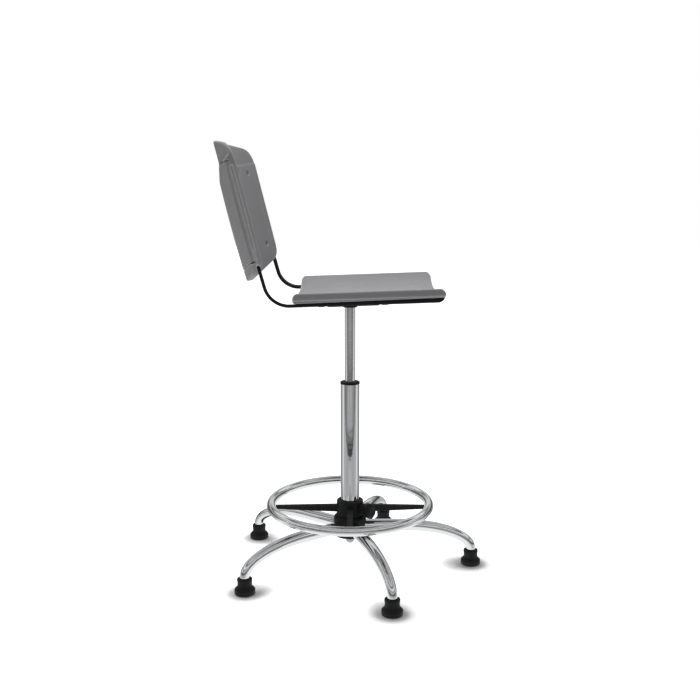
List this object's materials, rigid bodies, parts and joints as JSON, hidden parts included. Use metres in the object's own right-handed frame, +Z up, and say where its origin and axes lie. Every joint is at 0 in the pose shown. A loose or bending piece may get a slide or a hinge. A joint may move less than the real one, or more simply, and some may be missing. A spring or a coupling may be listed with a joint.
{
  "type": "swivel stool",
  "caption": "High swivel stool with a gas lift, an adjustable foot ring, a moulded seat with upturned sides, a backrest on side bars and a splayed base on glides.",
  "frame": {"origin": "on the floor, under the column's axis", "axes": "+Z up along the column, -Y the way the sitter faces, +X to the sitter's left"},
  "size_m": [0.6736, 0.6943, 1.1198],
  "materials": {
    "chrome": "polished chrome plate",
    "grey_chrome": "hard chrome on the gas lift's cylinder",
    "steel": "zinc-plated steel",
    "black_steel": "black powder coat",
    "black_nylon": "moulded black plastic",
    "rubber": "moulded rubber",
    "grey_plastic": "grey moulded plastic with a fine texture"
  },
  "bodies": {
    "base": {"base_hub": "black_steel", "leg_1": "chrome", "leg_2": "chrome", "leg_3": "chrome", "leg_4": "chrome", "leg_5": "chrome", "glide_1": "black_nylon", "glide_2": "black_nylon", "glide_3": "black_nylon", "glide_4": "black_nylon", "glide_5": "black_nylon", "glide_stem_1": "steel", "glide_stem_2": "steel", "glide_stem_3": "steel", "glide_stem_4": "steel", "glide_stem_5": "steel", "column_tube": "chrome", "guide_collar": "black_nylon", "bearing_washer_lower": "steel", "bearing_ball_cage": "steel"},
    "spindle": {"piston_rod": "steel", "bearing_washer_upper": "steel", "bumper": "rubber", "rod_collar": "steel", "rod_clip": "steel"},
    "seat": {"gas_cylinder": "grey_chrome", "side_bar_left": "black_steel", "side_bar_right": "black_steel", "cross_member_front": "black_steel", "cross_member_rear": "black_steel", "seat_shell": "grey_plastic", "seat_screw_1": "steel", "seat_screw_2": "steel", "seat_screw_3": "steel", "seat_screw_4": "steel", "mechanism_tray": "black_steel", "tray_bolt_1": "steel", "tray_bolt_2": "steel", "tray_bolt_3": "steel", "tray_bolt_4": "steel", "lever_pin": "steel", "back_shell": "grey_plastic", "back_cover": "grey_plastic", "back_strap": "black_steel", "back_screw_1": "steel", "back_screw_2": "steel", "back_screw_3": "steel", "back_screw_4": "steel", "back_screw_5": "steel", "back_screw_6": "steel"},
    "valve_button": {"valve_button": "steel"},
    "lever": {"lever_arm": "steel", "lever_grip": "black_nylon"},
    "ring_liner": {"ring_liner": "black_nylon"},
    "foot_ring": {"foot_ring": "chrome", "ring_hub": "black_nylon"},
    "clamp_pad": {"clamp_pad": "steel"},
    "clamp_knob": {"clamp_knob": "black_nylon"}
  },
  "joints": [
    {"name": "seat_swivel", "type": "hinge", "parent": "base", "child": "spindle", "pos_m": [0, 0, 0.09], "axis": [0, 0, 1], "continuous": true},
    {"name": "seat_height", "type": "slide", "parent": "spindle", "child": "seat", "axis": [0, 0, 1], "range_m": [-0.19, 0.07]},
    {"name": "lever_lift", "type": "hinge", "parent": "seat", "child": "lever", "pos_m": [0.045, -0.0003, 0.7263], "axis": [0, -0.9994, 0.0349], "range_deg": [0, 3.2], "stiffness_Nm_per_rad": 4, "springref_deg": -5.73},
    {"name": "valve_press", "type": "slide", "parent": "seat", "child": "valve_button", "axis": [0, 0, -1], "range_m": [0, 0.0026]},
    {"name": "ring_height", "type": "slide", "parent": "base", "child": "ring_liner", "axis": [0, 0, 1], "range_m": [0, 0.28]},
    {"name": "ring_turn", "type": "hinge", "parent": "ring_liner", "child": "foot_ring", "pos_m": [0, 0, 0.16], "axis": [0, 0, 1], "continuous": true},
    {"name": "clamp_turn", "type": "hinge", "parent": "clamp_pad", "child": "clamp_knob", "pos_m": [-0.02796, -0.04145, 0.1601], "axis": [-0.5592, -0.829, 0], "range_deg": [0, 720]},
    {"name": "clamp_press", "type": "slide", "parent": "foot_ring", "child": "clamp_pad", "axis": [-0.5592, -0.829, 0], "range_m": [0, 0.003]}
  ],
  "couplings": [
    {"joint": "valve_press", "follows": "lever_lift", "m_per_rad": 0.045},
    {"joint": "clamp_press", "follows": "clamp_turn", "m_per_rad": 0.00023873}
  ]
}
